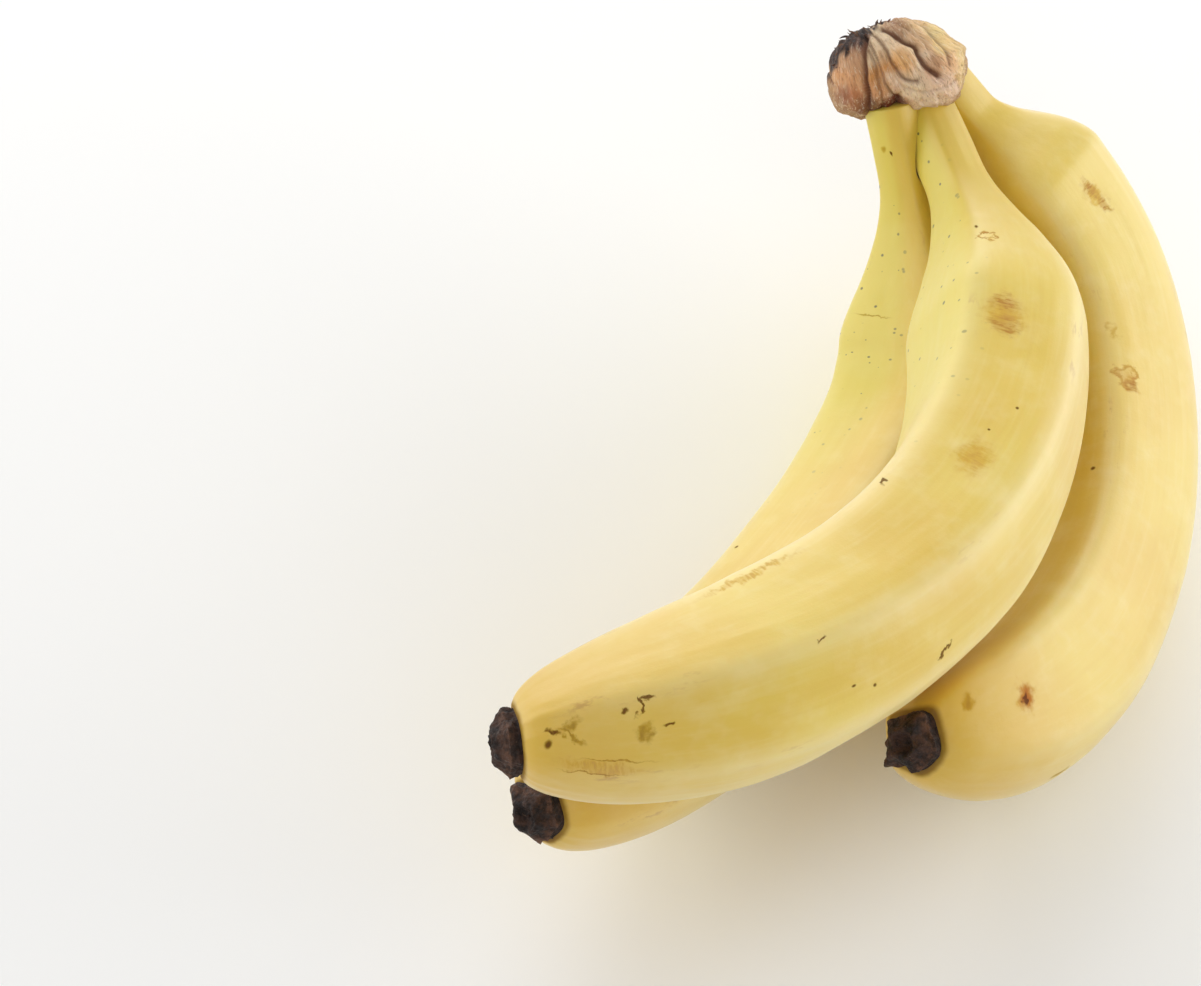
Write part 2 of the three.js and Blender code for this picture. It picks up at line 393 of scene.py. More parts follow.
def finger_rings(finger):
    """Rings of points down a finger, closer together at its ends, with the relief on them."""
    share = np.linspace(0, 1, FINGER_RINGS)
    share = share - 0.06 * np.sin(2 * np.pi * share)
    end = finger["length"] - BLOSSOM_LENGTH - GAP / 2
    angle = np.linspace(0, 2 * np.pi, FINGER_SIDES, endpoint=False)
    distance, angle = np.meshgrid(share * end, angle, indexing="ij")
    point, _, inside, across = frames_at(finger, distance)
    reach = skin_reach(finger, distance, angle)
    outward = np.cos(angle)[..., None] * inside + np.sin(angle)[..., None] * across
    return point + reach[..., None] * outward, distance, angle


def set_down():
    """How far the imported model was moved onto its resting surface: the middle of its whole finger's box
    less the middle of the same finger's box here."""
    low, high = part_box("banana_middle")
    rings = finger_rings(FINGERS["middle"])[0].reshape(-1, 3)
    return np.array(low + high) / MM / 2 - (rings.min(0) + rings.max(0)) / 2


for seed, finger in enumerate(FINGERS.values()):
    finger["seed"] = 10 * seed
    finger["path"] = centreline(finger)
SHIFT = set_down()
for finger in FINGERS.values():
    finger["path"][:, 0] += SHIFT


# ---------------------------------------------------------------- materials: short ways to join nodes

def paint(red, green, blue):
    """A screen colour from 0 to 255 as the light values that the shader takes."""
    share = np.array([red, green, blue]) / 255
    light = np.where(share <= 0.04045, share / 12.92, ((share + 0.055) / 1.055) ** 2.4)
    return (*light.tolist(), 1)


def new_material(name):
    """An empty material with one Principled shader, its tree and that shader."""
    material = bpy.data.materials.new(name)
    material.use_nodes = True
    tree = material.node_tree
    return material, tree, tree.nodes["Principled BSDF"]


def add(tree, kind, inputs=None, **settings):
    """A new node with these settings. An input is a value, or the output that feeds it."""
    node = tree.nodes.new(kind)
    for key, value in settings.items():
        setattr(node, key, value)
    for key, value in (inputs or {}).items():
        if isinstance(value, bpy.types.NodeSocket):
            tree.links.new(value, node.inputs[key])
        else:
            node.inputs[key].default_value = value
    return node


def sums(tree, operation, first, second=0.0, clamp=False):
    """One Math node."""
    node = add(tree, "ShaderNodeMath", {0: first, 1: second}, operation=operation, use_clamp=clamp)
    return node.outputs[0]


def step_up(tree, value, low, high, to_low=0.0, to_high=1.0):
    """An eased rise from to_low to to_high as the value goes from low to high."""
    node = add(tree, "ShaderNodeMapRange", {0: value, 1: low, 2: high, 3: to_low, 4: to_high})
    node.interpolation_type = "SMOOTHSTEP"
    return node.outputs[0]


def blend(tree, share, first, second, mode="MIX"):
    """One colour over another."""
    node = add(tree, "ShaderNodeMix", {0: share, 6: first, 7: second}, data_type="RGBA", blend_type=mode)
    return node.outputs[2]


def clouds(tree, place, scale, detail=3.0, rough=0.5, warp=0.0):
    """Noise of about one cell in each 1/scale metres."""
    values = {"Vector": place, "Scale": scale, "Detail": detail, "Roughness": rough, "Distortion": warp}
    return add(tree, "ShaderNodeTexNoise", values).outputs[0]


def stretched(tree, place, scale):
    """The place, scaled along each axis."""
    return add(tree, "ShaderNodeMapping", {"Vector": place, "Scale": scale}).outputs[0]


def reading(tree, label, output="Fac"):
    """One of the mesh's own attributes."""
    return add(tree, "ShaderNodeAttribute", attribute_name=label).outputs[output]


def bumped(tree, shader, heights):
    """Bump nodes in a row, one for each height and its depth in metres."""
    before = None
    for height, depth in heights:
        node = add(tree, "ShaderNodeBump", {"Height": height, "Distance": depth, "Strength": 1.0})
        if before is not None:
            tree.links.new(before, node.inputs["Normal"])
        before = node.outputs[0]
    tree.links.new(before, shader.inputs["Normal"])


def finish_shader(shader, **values):
    """Sets the shader's own sockets, which are named in plain words with underscores."""
    for key, value in values.items():
        shader.inputs[key.replace("_", " ")].default_value = value


# ---------------------------------------------------------------- the skin

def mark_group():
    """A node group for one mark on the skin. It reads the place in the mark's own frame, whose size is 1,
    and gives how strongly the mark shows: a ragged filled spot or a ring, broken into brushed lines."""
    group = bpy.data.node_groups.new("skin_mark", "ShaderNodeTree")
    for label, kind in (("Place", "Vector"), ("Wobble", "Vector"), ("Lines", "Float"), ("Centre", "Vector"),
                        ("Turn", "Vector"), ("Size", "Vector"), ("Ragged", "Float"), ("Ring", "Float"),
                        ("Broken", "Float"), ("Edge", "Float")):
        group.interface.new_socket(label, in_out="INPUT", socket_type="NodeSocket" + kind)
    group.interface.new_socket("Shows", in_out="OUTPUT", socket_type="NodeSocketFloat")
    given = group.nodes.new("NodeGroupInput").outputs
    moved = add(group, "ShaderNodeVectorMath", {0: given["Wobble"], "Scale": given["Ragged"]},
                operation="SCALE")
    place = add(group, "ShaderNodeVectorMath", {0: given["Place"], 1: moved.outputs[0]}, operation="ADD")
    own = add(group, "ShaderNodeMapping", {"Vector": place.outputs[0], "Location": given["Centre"],
                                           "Rotation": given["Turn"], "Scale": given["Size"]},
              vector_type="TEXTURE").outputs[0]
    away = add(group, "ShaderNodeVectorMath", {0: own}, operation="LENGTH").outputs["Value"]
    filled = step_up(group, away, sums(group, "SUBTRACT", 1.0, given["Edge"]), 1.0, 1.0, 0.0)
    rim = sums(group, "ABSOLUTE", sums(group, "SUBTRACT", away, 0.7))
    ring = step_up(group, rim, 0.05, 0.3, 1.0, 0.0)
    shape = add(group, "ShaderNodeMix", {0: given["Ring"], 2: filled, 3: ring}).outputs[0]
    broken = add(group, "ShaderNodeMix", {0: given["Broken"], 2: 1.0, 3: given["Lines"]}).outputs[0]
    given_out = group.nodes.new("NodeGroupOutput").inputs
    group.links.new(sums(group, "MULTIPLY", shape, broken, clamp=True), given_out["Shows"])
    return group


# Kinds of mark: how ragged, how much of a ring, how broken into lines, how soft at the edge, the colour,
# and how strongly it shows.
MARK_KINDS = {
    "bruise": (0.45, 0.0, 0.60, 0.85, paint(172, 116, 54), 0.85),
    "patch": (0.60, 0.0, 0.35, 0.95, paint(196, 140, 74), 0.60),
    "ring": (0.45, 0.7, 0.20, 0.80, paint(184, 130, 66), 0.85),
    "curl": (0.90, 1.0, 0.60, 0.50, paint(168, 108, 46), 0.85),
    "scratch": (0.55, 0.0, 0.10, 0.60, paint(92, 44, 8), 0.92),
    "smudge": (0.50, 0.0, 0.15, 0.95, paint(132, 92, 36), 0.70),
    "dot": (0.25, 0.0, 0.00, 0.70, paint(92, 48, 12), 0.90),
    "rust": (0.30, 0.0, 0.10, 0.90, paint(176, 92, 26), 0.95),
    "scuff": (0.50, 0.0, 0.60, 0.80, paint(196, 146, 90), 0.60),
    "line": (0.25, 0.0, 0.30, 0.80, paint(150, 98, 48), 0.70),
    "faint": (0.60, 0.0, 0.20, 0.98, paint(186, 140, 58), 0.55),
    "stain": (0.40, 0.0, 0.00, 0.90, paint(160, 108, 40), 0.60),
}

# How far a mark's outline wanders in metres for each mm of its size, up to the widest it counts, and how
# deep a mark reaches in mm.
MARK_WOBBLE = 0.003
MARK_WOBBLE_WIDEST = 3
MARK_DEEP = 6

# Marks on each finger: the kind, how far down, the angle round, half the width and half the length, and
# the turn of the long way from the finger's own line.
MARKS = {
    "middle": [
        ("bruise", 64, 297, 3.6, 3.2, 0), ("bruise", 70, 295, 4.0, 3.4, 0), ("patch", 67, 296, 5.5, 7.5, 0),
        ("curl", 43, 306, 1.8, 1.9, 0), ("dot", 39, 314, 0.4, 0.8, 20), ("patch", 106, 280, 5, 7, 10),
        ("scratch", 192, 235, 0.5, 2.4, 70), ("scratch", 190.5, 238, 0.6, 1.6, 0),
        ("scratch", 194.5, 232, 0.7, 0.9, 40), ("smudge", 192, 214, 1.8, 2.6, 60),
        ("smudge", 203, 228, 1.2, 2.4, 35), ("scratch", 206, 224, 0.6, 1.6, -35),
        ("smudge", 203.5, 218, 0.9, 4.0, -40), ("dot", 207, 212, 0.8, 1.1, 70),
        ("scratch", 188, 217, 0.4, 1.1, 10), ("scuff", 199.5, 188, 1.8, 9.5, -7),
        ("line", 197, 194, 0.3, 8.0, -7), ("line", 201, 183, 0.3, 7.0, -3),
        ("scratch", 160, 242, 0.4, 1.8, 30), ("scratch", 137, 196, 0.6, 2.4, 25),
        ("dot", 90, 272, 0.5, 0.5, 0), ("dot", 98, 282, 0.4, 0.4, 0),
        ("dot", 153, 202, 0.5, 0.5, 0), ("dot", 157, 208, 0.4, 0.6, 0), ("scratch", 121, 314, 0.6, 1.9, 30),
        ("scuff", 160, 308, 1.2, 16, 0), ("patch", 120, 60, 6, 11, 15), ("rust", 84, 96, 1.6, 3.2, 20),
        ("scratch", 150, 120, 0.4, 3.6, -20),
    ],
    "left": [
        ("scratch", 9, 350, 0.3, 0.6, 40), ("stain", 8, 8, 0.8, 1.2, -30), ("line", 43, 15, 0.4, 6.0, 82),
        ("stain", 203, 256, 1.2, 1.6, 0), ("dot", 120, 30, 0.5, 0.6, 0), ("patch", 96, 110, 5, 9, -10),
        ("rust", 140, 160, 1.5, 2.8, 40), ("scratch", 172, 250, 0.4, 2.6, 15), ("bruise", 88, 204, 4, 6, 0),
        ("scuff", 130, 118, 1.1, 18, 0), ("dot", 66, 252, 0.6, 0.8, 0), ("smudge", 186, 120, 2, 3, 30),
    ],
    "right": [
        ("bruise", 39, 285, 2.2, 3.4, 10), ("bruise", 44, 281, 2.0, 3.2, 20),
        ("patch", 41, 284, 3.2, 5.8, 15),
        ("ring", 86, 308, 2.6, 3.6, -15), ("patch", 88, 306, 2.6, 3.0, 0),
        ("bruise", 88.5, 305, 1.6, 2.2, -15), ("faint", 75, 312, 1.8, 3.0, 0),
        ("patch", 183, 284, 3.4, 4.2, 70), ("rust", 183, 284, 2.6, 3.4, 70),
        ("scratch", 183.5, 283, 0.8, 1.5, 60), ("dot", 112, 328, 0.6, 0.7, 0),
        ("stain", 196, 300, 2.0, 1.6, 0), ("patch", 130, 40, 6, 10, 20), ("rust", 100, 66, 1.6, 3.4, -20),
        ("scratch", 150, 150, 0.4, 4.0, 15), ("scuff", 118, 42, 1.2, 17, 0),
        ("smudge", 170, 200, 2.2, 3.2, 20), ("dot", 66, 20, 0.6, 0.8, 0),
    ],
}

YOUNG = paint(220, 204, 70)
BUTTER = paint(228, 200, 82)
GOLD = paint(222, 186, 58)
PALE = paint(244, 230, 172)
STALK_GREEN = paint(214, 181, 54)
TIP_GOLD = paint(212, 168, 36)
SPECK = paint(100, 58, 18)
GREEN_SPECK = paint(112, 106, 34)
BROWN_EDGE = paint(104, 66, 46)

# The skin's patterns, in cells in each metre.
SLOW_CELLS = 26.0
DOT_CELLS = 150.0
MOTTLE_CELLS = 140.0
SCRAPE_CELLS = 420.0
FINE_DOT_CELLS = 520.0
STREAK_CELLS = 620.0
GRAIN_CELLS = 2600.0

# How deep three of them stand out, in metres.
STREAK_DEPTH = 0.00004
MOTTLE_DEPTH = 0.00011
GRAIN_DEPTH = 0.000015

# The shine of clean skin, then of marks, which are dull.
SKIN_SHINE = {"Coat Weight": (0.65, 0.05), "Sheen Weight": (0.20, 0.0), "Specular IOR Level": (0.5, 0.12)}


def speckled(tree, place, scale, size, share):
    """Small dots: near the middle of those Voronoi cells whose own random value is under the share."""
    cells = add(tree, "ShaderNodeTexVoronoi", {"Vector": place, "Scale": scale, "Randomness": 1.0})
    value = add(tree, "ShaderNodeSeparateColor", {0: cells.outputs["Color"]})
    chosen = sums(tree, "LESS_THAN", value.outputs[0], share)
    wanted = sums(tree, "MULTIPLY", value.outputs[1], size)
    near = sums(tree, "SUBTRACT", 1.0, sums(tree, "DIVIDE", cells.outputs["Distance"], wanted), clamp=True)
    return sums(tree, "MULTIPLY", step_up(tree, near, 0.0, 0.5), chosen)


def ripe_colour(tree, place, mottle, streak):
    """Butter yellow in slow clouds of gold, mottled and streaked with pale, with a painted highlight of pale
    along the ridges, greener by the stalk and on the young side, and gold at the tip."""
    slow = clouds(tree, place, SLOW_CELLS, 2.0)
    colour = blend(tree, step_up(tree, slow, 0.35, 0.68), BUTTER, GOLD)
    colour = blend(tree, step_up(tree, mottle, 0.42, 0.78, 0.0, 0.24), colour, PALE)
    colour = blend(tree, step_up(tree, streak, 0.48, 0.72, 0.0, 0.11), colour, PALE)
    colour = blend(tree, step_up(tree, streak, 0.5, 0.26, 0.0, 0.14), colour, TIP_GOLD)
    # Painted highlight: the ridge crests are blended towards pale, as if they caught the light.
    colour = blend(tree, sums(tree, "MULTIPLY", reading(tree, "ridge"), 0.34), colour, PALE)
    green = sums(tree, "MULTIPLY", reading(tree, "stalk"), step_up(tree, mottle, 0.2, 0.7, 0.55, 0.95))
    colour = blend(tree, green, colour, STALK_GREEN)
    colour = blend(tree, sums(tree, "MULTIPLY", reading(tree, "tip"), 0.65), colour, TIP_GOLD)
    return blend(tree, sums(tree, "MULTIPLY", reading(tree, "young"), 0.75), colour, YOUNG)


def with_specks(tree, place, colour):
    """The colour with tiny green specks on the young side, a few brown ones anywhere and scraped ridges,
    and how strongly the brown specks show."""
    fine = speckled(tree, place, FINE_DOT_CELLS, 0.30, 0.5)
    colour = blend(tree, sums(tree, "MULTIPLY", fine, reading(tree, "young")), colour, GREEN_SPECK)
    few = speckled(tree, stretched(tree, place, (1.0, 1.0, 0.5)), DOT_CELLS, 0.045, 0.12)
    colour = blend(tree, few, colour, SPECK)
    scraped = clouds(tree, stretched(tree, place, (1.0, 1.0, 0.25)), SCRAPE_CELLS, 4.0, 0.7)
    wear = sums(tree, "MULTIPLY", reading(tree, "wear"), step_up(tree, scraped, 0.54, 0.66))
    colour = blend(tree, sums(tree, "MULTIPLY", wear, 0.55), colour, MARK_KINDS["bruise"][4])
    return colour, sums(tree, "MULTIPLY", few, 0.8)


def with_marks(tree, place, colour, shown, finger_name, group):
    """The colour with the finger's own marks over it, one group node each, and the most that any mark or
    speck shows."""
    wander = add(tree, "ShaderNodeTexNoise", {"Vector": place, "Scale": STREAK_CELLS, "Detail": 3.0})
    wobble = add(tree, "ShaderNodeVectorMath", {0: wander.outputs["Color"], 1: (0.5, 0.5, 0.5)},
                 operation="SUBTRACT").outputs[0]
    brushed = clouds(tree, stretched(tree, place, (1.0, 1.0, 4.5)), SCRAPE_CELLS, 4.0, 0.6)
    lines = step_up(tree, brushed, 0.42, 0.60)
    for kind, down, round_angle, half_width, half_length, turn in MARKS[finger_name]:
        ragged, ring, broken, edge, tint, strength = MARK_KINDS[kind]
        angle = np.radians(round_angle)
        spot = skin_place(FINGERS[finger_name], np.float64(down), angle) * MM
        size = min(max(half_width, half_length), MARK_WOBBLE_WIDEST)
        own = add(tree, "ShaderNodeGroup", node_tree=group)
        values = {"Centre": spot.tolist(), "Turn": (math.radians(turn), 0, float(angle)),
                  "Size": (MARK_DEEP * MM, half_width * MM, half_length * MM),
                  "Ragged": ragged * MARK_WOBBLE * size, "Ring": ring, "Broken": broken, "Edge": edge}
        for key, value in values.items():
            own.inputs[key].default_value = value
        for key, output in (("Place", place), ("Wobble", wobble), ("Lines", lines)):
            tree.links.new(output, own.inputs[key])
        colour = blend(tree, sums(tree, "MULTIPLY", own.outputs[0], strength), colour, tint)
        shown = sums(tree, "MAXIMUM", own.outputs[0], shown)
    return colour, shown


def skin_material(name, group):
    """Waxy yellow skin with specks and this finger's own marks, brown where it meets the dried end, and
    dull wherever it is marked."""
    material, tree, shader = new_material("skin_" + name)
    place = reading(tree, "skin_place", "Vector")
    mottle = clouds(tree, place, MOTTLE_CELLS, 3.0, 0.6)
    streak = clouds(tree, stretched(tree, place, (1.0, 1.0, 0.06)), STREAK_CELLS, 3.0, 0.6)
    colour, shown = with_specks(tree, place, ripe_colour(tree, place, mottle, streak))
    colour, shown = with_marks(tree, place, colour, shown, name, group)
    edge = sums(tree, "ADD", reading(tree, "edge"), sums(tree, "MULTIPLY", mottle, 0.6))
    edge = step_up(tree, edge, 0.6, 1.4, 0.0, 0.85)
    colour = blend(tree, edge, colour, BROWN_EDGE)
    tree.links.new(colour, shader.inputs["Base Color"])
    rough = step_up(tree, mottle, 0.3, 0.7, 0.42, 0.52)
    rough = sums(tree, "ADD", rough, sums(tree, "MULTIPLY", shown, 0.18))
    rough = sums(tree, "ADD", rough, sums(tree, "MULTIPLY", edge, 0.3), clamp=True)
    tree.links.new(rough, shader.inputs["Roughness"])
    dull = sums(tree, "MAXIMUM", shown, edge)
    for socket, (on_skin, on_marks) in SKIN_SHINE.items():
        tree.links.new(step_up(tree, dull, 0.0, 0.7, on_skin, on_marks), shader.inputs[socket])
    grain = clouds(tree, place, GRAIN_CELLS, 1.0)
    bumped(tree, shader, [(streak, STREAK_DEPTH), (mottle, MOTTLE_DEPTH), (grain, GRAIN_DEPTH)])
    finish_shader(shader, IOR=1.5, Subsurface_Weight=0.15, Subsurface_Radius=(1.0, 0.5, 0.1),
                  Subsurface_Scale=0.004, Sheen_Roughness=0.5, Coat_Roughness=0.42)
    return material


def make_finger(name, finger, neighbours, group):
    """One finger's skin: its rings, pressed clear of the neighbours made before it and flat on the
    surface, with where each point is on the skin, how near it is to a ridge, the stalk and the tip, and
    how much it is on the young side, which faces left in the main view."""
    rings, distance, angle = finger_rings(finger)
    for other in neighbours:
        rings = press_clear(rings, other, lerp(STALK_JOIN, GAP, ease((distance - JOIN_FROM) / JOIN_LENGTH)))
    rings[..., 2] = np.maximum(rings[..., 2], 0)
    end = finger["length"] - BLOSSOM_LENGTH
    place = skin_place(finger, distance, angle)
    on_body = ease((distance - finger["stalk_end"]) / 25) * ease((end - distance) / 12)
    leftward = unit(rings - frames_at(finger, distance)[0]) @ -np.array(RIGHT)
    worn = ease(noise(place / [2, 2, 1], 17, finger["seed"] + 7) * 1.6 + 0.1)
    piece = closed_skin(
        "banana_skin_" + name, rings,
        skin_place=place * MM,
        # The ridge map sets the painted highlight along the ridges.
        ridge=ridge_at(angle, 0.16) * on_body,
        wear=ridge_at(angle, 0.10) * on_body * worn,
        stalk=1 - ease((distance - 4) / (finger["body_start"] + 6)),
        young=(1 - ease((distance - finger["body_start"] - 8) / 60)) * ease((leftward - 0.1) / 0.6),
        tip=ease((distance - end + 34) / 34),
        edge=ease((distance - end + 1.3) / 1.5),
    )
    piece.data.materials.append(skin_material(name, group))
    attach(piece, "root")
    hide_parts("banana_" + name)


# ---------------------------------------------------------------- the blossom ends

BLOSSOM_SIDES = 150
BLOSSOM_RINGS = 90

# In mm: how far the side swells, which is less than nothing as it draws in, how long the side is, and how
# deep the dish is.
BLOSSOM_SWELL = -0.25
BLOSSOM_SIDE = 2.1
BLOSSOM_DISH = 1.7

# A dried petal tip that sticks out of the right finger's end: which way, how wide an angle and how far.
SPUR_WAY = np.array(-0.85 * RIGHT - 0.52 * UP)
SPUR_WIDTH = 0.16
SPUR_REACH = {"left": 0.0, "middle": 0.0, "right": 2.4}


def blossom_material():
    """Dried black-brown tissue: dark crumbs with red-brown hollows and a few grey flakes, painted pale, which
    also stand in for glints as painted highlights.
    """
    material, tree, shader = new_material("blossom_tissue")
    place = add(tree, "ShaderNodeTexCoord").outputs["Object"]
    rim = reading(tree, "rim")
    lumps = clouds(tree, place, 420.0, 5.0, 0.65)
    flakes_and_glints = clouds(tree, place, 1500.0, 3.0, 0.6)
    colour = blend(tree, step_up(tree, lumps, 0.38, 0.66), paint(26, 16, 12), paint(70, 47, 36))
    # Painted highlight: the pale grey flakes also stand in for glints on the dried tissue.
    colour = blend(tree, step_up(tree, flakes_and_glints, 0.60, 0.80, 0.0, 0.7), colour, paint(118, 98, 84))
    colour = blend(tree, sums(tree, "MULTIPLY", rim, step_up(tree, lumps, 0.4, 0.7, 0.1, 0.55)),
                   colour, paint(126, 88, 66))
    tree.links.new(colour, shader.inputs["Base Color"])
    tree.links.new(step_up(tree, flakes_and_glints, 0.3, 0.7, 0.55, 0.95), shader.inputs["Roughness"])
    bumped(tree, shader, [(lumps, 0.0006), (flakes_and_glints, 0.00025)])
    finish_shader(shader, IOR=1.4)
    return material


def make_blossom(name, finger, material):
    """A dried stub in the finger's own section. Going out from the skin its faces draw in a little while
    its five corners stand out, up to a ragged rim with the petal tip on it. Past the rim it leans in over
    a crumbly bevel and sinks in a small dish to the middle."""
    start = finger["length"] - BLOSSOM_LENGTH - GAP / 2
    share = np.linspace(0, 1, BLOSSOM_RINGS)
    angle = np.linspace(0, 2 * np.pi, BLOSSOM_SIDES, endpoint=False)
    share, angle = np.meshgrid(share, angle, indexing="ij")
    side = np.clip(share / 0.4, 0, 1)
    face = np.clip((share - 0.4) / 0.6, 0, 1)
    length = BLOSSOM_LENGTH + GAP / 2
    point, along, inside, across = frames_at(finger, np.full_like(angle, start))
    lobes = ridge_at(angle, 0.30)
    swell = BLOSSOM_SWELL * np.sin(0.5 * np.pi * np.minimum(side * 1.3, 1)) + 0.35 * lobes * side
    rim_reach = TIP_RADIUS * section_at(finger, np.full_like(angle, start), angle) + swell
    spur_angle = np.arctan2((SPUR_WAY * across[0, 0]).sum(), (SPUR_WAY * inside[0, 0]).sum())
    spur = bump(np.angle(np.exp(1j * (angle - spur_angle))), SPUR_WIDTH) * bump(share - 0.45, 0.14)
    reach = rim_reach * (1 - face) + SPUR_REACH[name] * spur
    bevel = BLOSSOM_SIDE * side + (length - BLOSSOM_SIDE) * ease(face / 0.55)
    depth = bevel - BLOSSOM_DISH * ease((face - 0.5) / 0.35)
    outward = np.cos(angle)[..., None] * inside + np.sin(angle)[..., None] * across
    rings = point + reach[..., None] * outward + depth[..., None] * along
    crumbs = layered_noise(rings, 3.0, finger["seed"] + 20, 4)
    crevice = np.abs(noise(rings, 1.8, finger["seed"] + 25))
    rough = (0.50 * crumbs - 0.75 * crevice + 0.3) * ease(side * 3) * (1 - ease((face - 0.93) / 0.07))
    push = outward * (1 - 0.7 * ease(face * 3))[..., None] + along * (0.1 + 0.8 * ease(face * 3))[..., None]
    rings = rings + push * rough[..., None]
    piece = closed_skin("dried_blossom_end_" + name, rings, rim=bump(share - 0.42, 0.10))
    piece.data.materials.append(material)
    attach(piece, "root")
    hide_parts("blossom_end_" + name)


# ---------------------------------------------------------------- the crown

# The crown's own axes: across, away and up, leaning back and tilted, round its middle.
CROWN_MIDDLE = CROWN_BASE + np.array([-5.6, 2.7, 7.1]) + SHIFT
CROWN_AXES = np.array([RIGHT, FORWARD, UP])
CROWN_HALF = np.array([12.2, 10.5, 10.0])
CROWN_BLOCKINESS = 2.4
CROWN_SIDES = 320
CROWN_RINGS = 230

# Which way the cut face looks, in the crown's own axes, and how far it is from the middle.
CUT_WAY = unit(np.array([-0.55, 0.62, 0.56]))
CUT_DEPTH = 8.2

# The tissue is dark past this far along this way, seen from the front.
DARK_WAY = np.array([-0.70, 0.0, 0.71])
DARK_CORNER = 8.9

# Strands fan out from this place across and up, spread by this many mm for each radian.
FAN_FROM = (-11.9, 20.8)
FAN_REACH = 26.0

# The outline seen from the front: angles up from the right, and reaches in mm.
OUTLINE_ANGLES = [16, 31, 53, 82, 94, 114, 130, 143, 155, 165, 184, 198, 214, 235, 248, 267, 302, 335]
OUTLINE_REACHES = [
    12.9, 11.3, 11.0, 11.5, 11.0, 10.3, 9.8, 10.9, 12.0, 12.3, 12.7, 12.7, 13.1, 12.0, 9.5, 8.0, 10.0, 12.2,
]
OUTLINE_MIDDLE = 11.0

# Creases on the front, each a few places across and up, then how deep and how wide it is.
CREASES = [
    ([(-6.7, 5.3), (-7.3, 0.9), (-7.0, -3.2), (-6.4, -9.4)], 1.3, 0.45),
    ([(-6.4, 2.6), (-5.2, -1.2), (-4.2, -5.3), (-3.4, -9.2)], 0.7, 0.40),
    ([(-5.8, 3.4), (-4.0, -1.4), (-3.0, -4.3), (-1.1, -6.3)], 0.8, 0.40),
    ([(-4.9, 1.0), (-3.4, -2.6), (-1.6, -5.6)], 0.4, 0.30),
    ([(-5.2, 6.0), (-3.0, 2.7), (-1.7, -0.2), (0.9, -2.8), (3.4, -3.2)], 0.9, 0.45),
    ([(-3.2, 7.4), (-0.1, 4.8), (3.0, 3.5), (3.6, 1.5), (5.0, -0.6), (7.7, -2.2)], 1.5, 0.50),
    ([(-2.1, 9.1), (2.0, 7.0), (5.0, 4.4), (6.3, 0.9), (7.7, -1.4)], 0.5, 0.35),
    ([(0.1, 10.5), (4.0, 8.7), (7.1, 6.0), (8.9, 2.7), (9.8, -0.2)], 0.8, 0.45),
    ([(-2.4, -0.2), (0.1, -3.7), (4.0, -5.3), (8.7, -4.3), (11.4, -2.8)], 0.5, 0.40),
    ([(1.0, -5.0), (4.6, -7.0), (9.0, -6.2)], 0.3, 0.30),
]

# The bottom of a crease is rounded over about this far, and its depth is this share of the one above.
CREASE_FLOOR = 0.25
CREASE_DEPTH = 0.8

# How much lighter the tissue is than the colours below, which are those it shows in soft light, the most
# light it gives back, and the square of how far in mm each colour spreads.
TINT_LIFT = 1.5
TINT_MOST = 0.86
TINT_SPREAD = 3.4

# Colours on the front: across, up, and the colour there.
CROWN_TINTS = [
    (-9.5, 0.9, (176, 134, 100)), (-10.1, -3.2, (184, 136, 94)), (-9.3, -6.7, (172, 114, 80)),
    (-5.4, -5.3, (186, 136, 96)), (-4.0, -3.2, (170, 116, 58)), (-4.8, 1.9, (198, 172, 138)),
    (-2.6, 4.4, (222, 196, 160)), (-2.8, -0.6, (190, 132, 72)), (-1.6, -3.6, (206, 176, 146)),
    (0.3, 0.7, (190, 144, 88)), (0.1, 3.5, (214, 186, 150)), (0.1, 7.4, (150, 114, 84)),
    (4.0, 5.0, (186, 150, 112)), (3.6, 0.2, (224, 198, 168)), (6.7, -0.2, (176, 136, 104)),
    (3.4, 9.0, (196, 164, 120)), (6.6, 8.0, (230, 204, 142)), (9.1, 4.3, (222, 190, 130)),
    (9.5, 0.2, (206, 164, 122)), (8.1, -4.3, (226, 194, 168)), (6.7, -7.9, (228, 202, 176)),
    (2.0, -5.3, (226, 200, 168)), (-0.5, -7.1, (104, 42, 22)), (12.6, 0.9, (224, 196, 138)),
    (-8.5, 4.6, (92, 62, 54)), (-8.9, -9.0, (96, 64, 50)), (-5.6, -9.6, (88, 58, 44)),
    (-11.6, -7.0, (120, 78, 56)),
]


def away_from_line(x, z, line):
    """The shortest way from each place to a line through a few places, taken as 12 straight bits a span."""
    knots = np.array(line, float)
    spots = between(knots, np.linspace(0, len(knots) - 1, 12 * (len(knots) - 1) + 1))
    return np.sqrt(((x[..., None] - spots[:, 0]) ** 2 + (z[..., None] - spots[:, 1]) ** 2).min(-1))


def crown_ways():
    """Ways out of the crown's middle, in rings round the way that the cut face looks, and each one's turn
    round it."""
    polar = np.linspace(0, np.pi, CROWN_RINGS + 2)[1:-1]
    turn = np.linspace(0, 2 * np.pi, CROWN_SIDES, endpoint=False)
    polar, turn = np.meshgrid(polar, turn, indexing="ij")
    side = unit(np.cross(CUT_WAY, [0, 1, 0]))
    front = np.cross(side, CUT_WAY)
    around = np.cos(turn)[..., None] * side - np.sin(turn)[..., None] * front
    return np.cos(polar)[..., None] * CUT_WAY + np.sin(polar)[..., None] * around, turn


